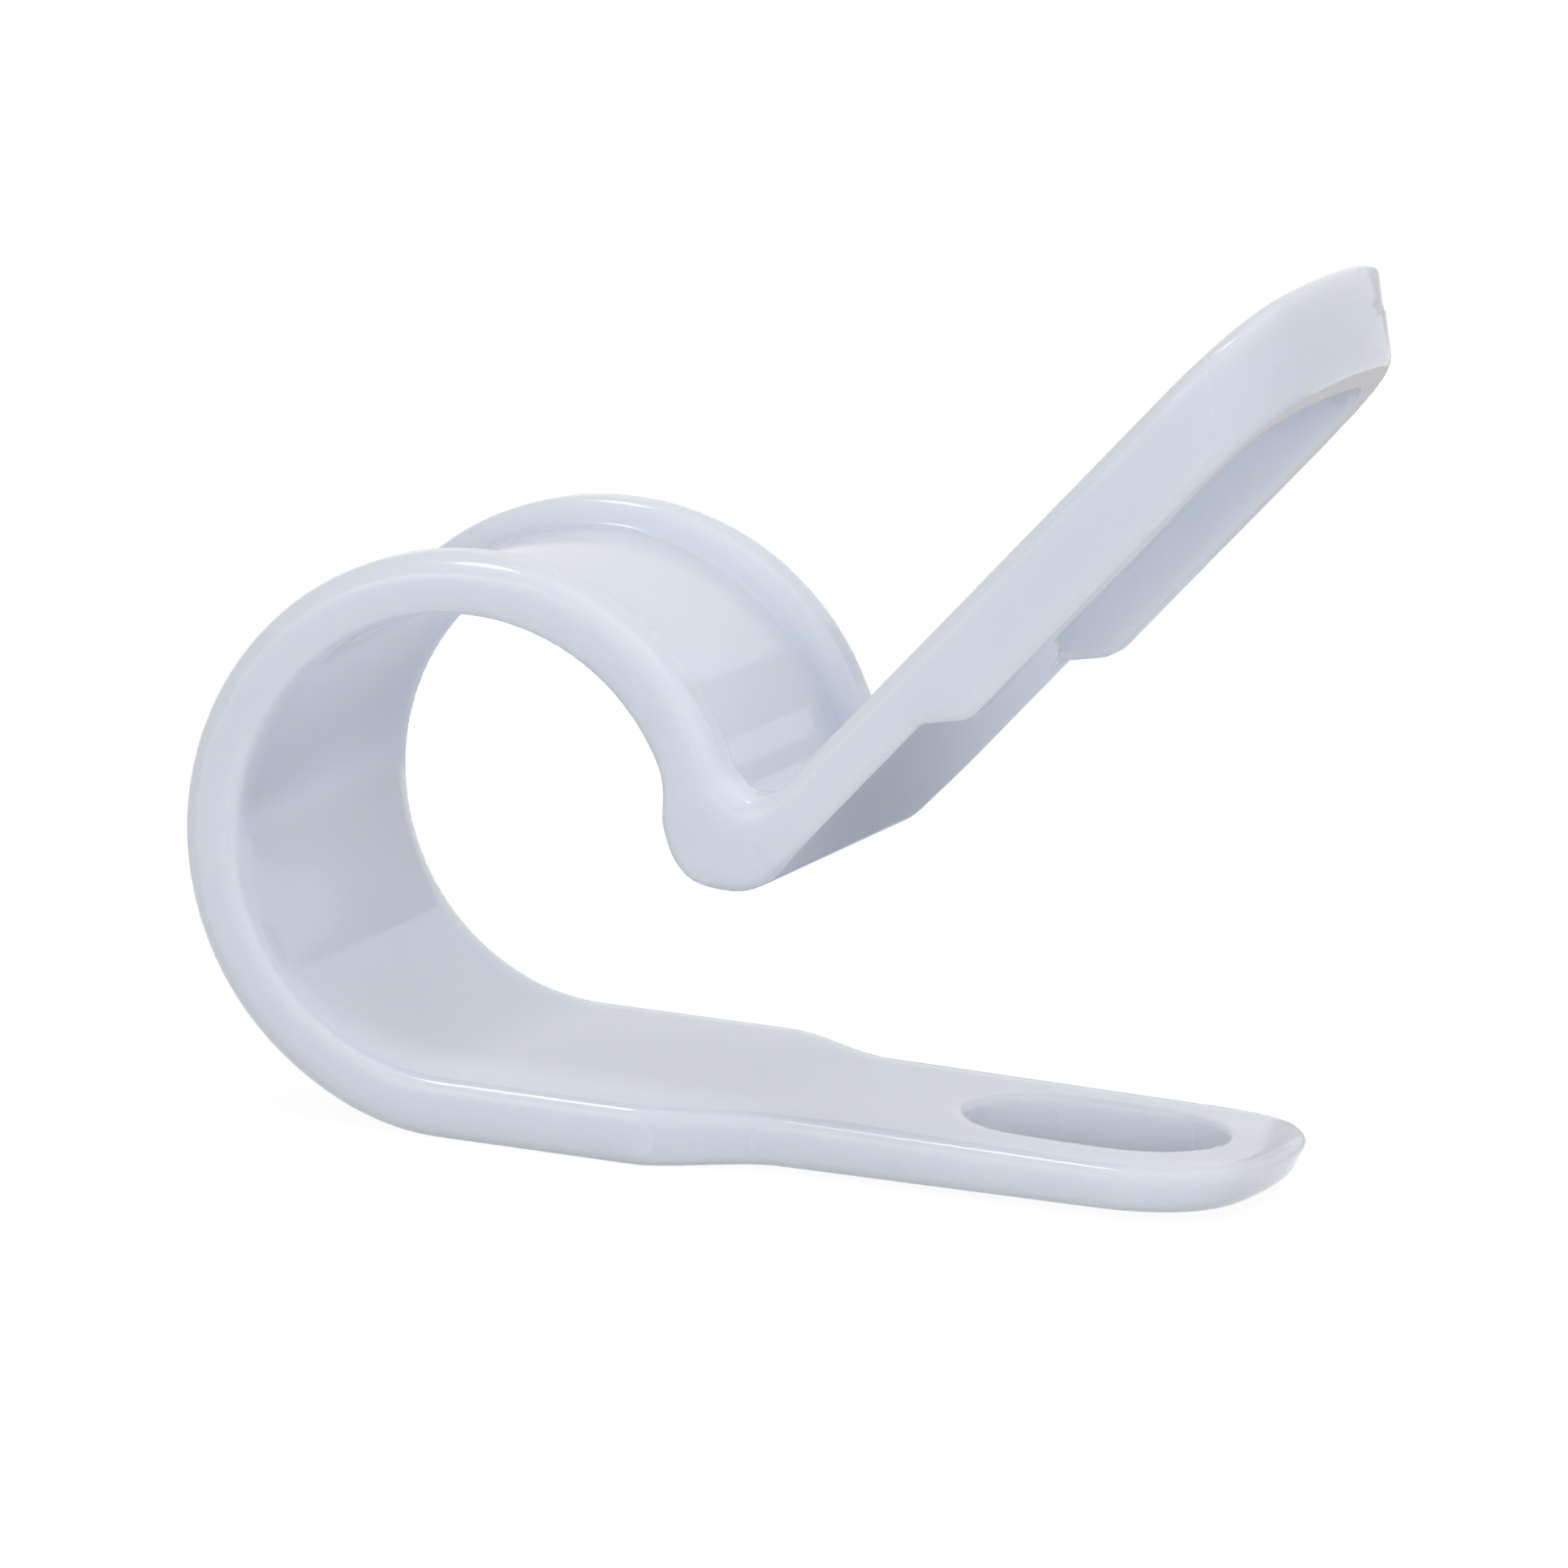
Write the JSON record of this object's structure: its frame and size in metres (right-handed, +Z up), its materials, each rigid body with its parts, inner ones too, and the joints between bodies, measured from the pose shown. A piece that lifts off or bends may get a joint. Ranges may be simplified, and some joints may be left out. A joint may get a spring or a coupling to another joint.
{
  "type": "cable clamp",
  "caption": "Open plastic P-shaped cable clamp: a strap bent into a loop, with a slotted flat foot and a raised upper leg that folds down over it and takes the same screw.",
  "frame": {"origin": "centre of the screw slot in the lower leg, on the panel that the clamp lies on", "axes": "+Z up from the panel, +X from the loop towards the foot's end, +Y along the cable"},
  "size_m": [0.0241, 0.01, 0.0201],
  "materials": {
    "natural_nylon": "natural milky white moulded nylon with a soft gloss"
  },
  "bodies": {
    "root": {"clamp": "natural_nylon"}
  },
  "joints": []
}
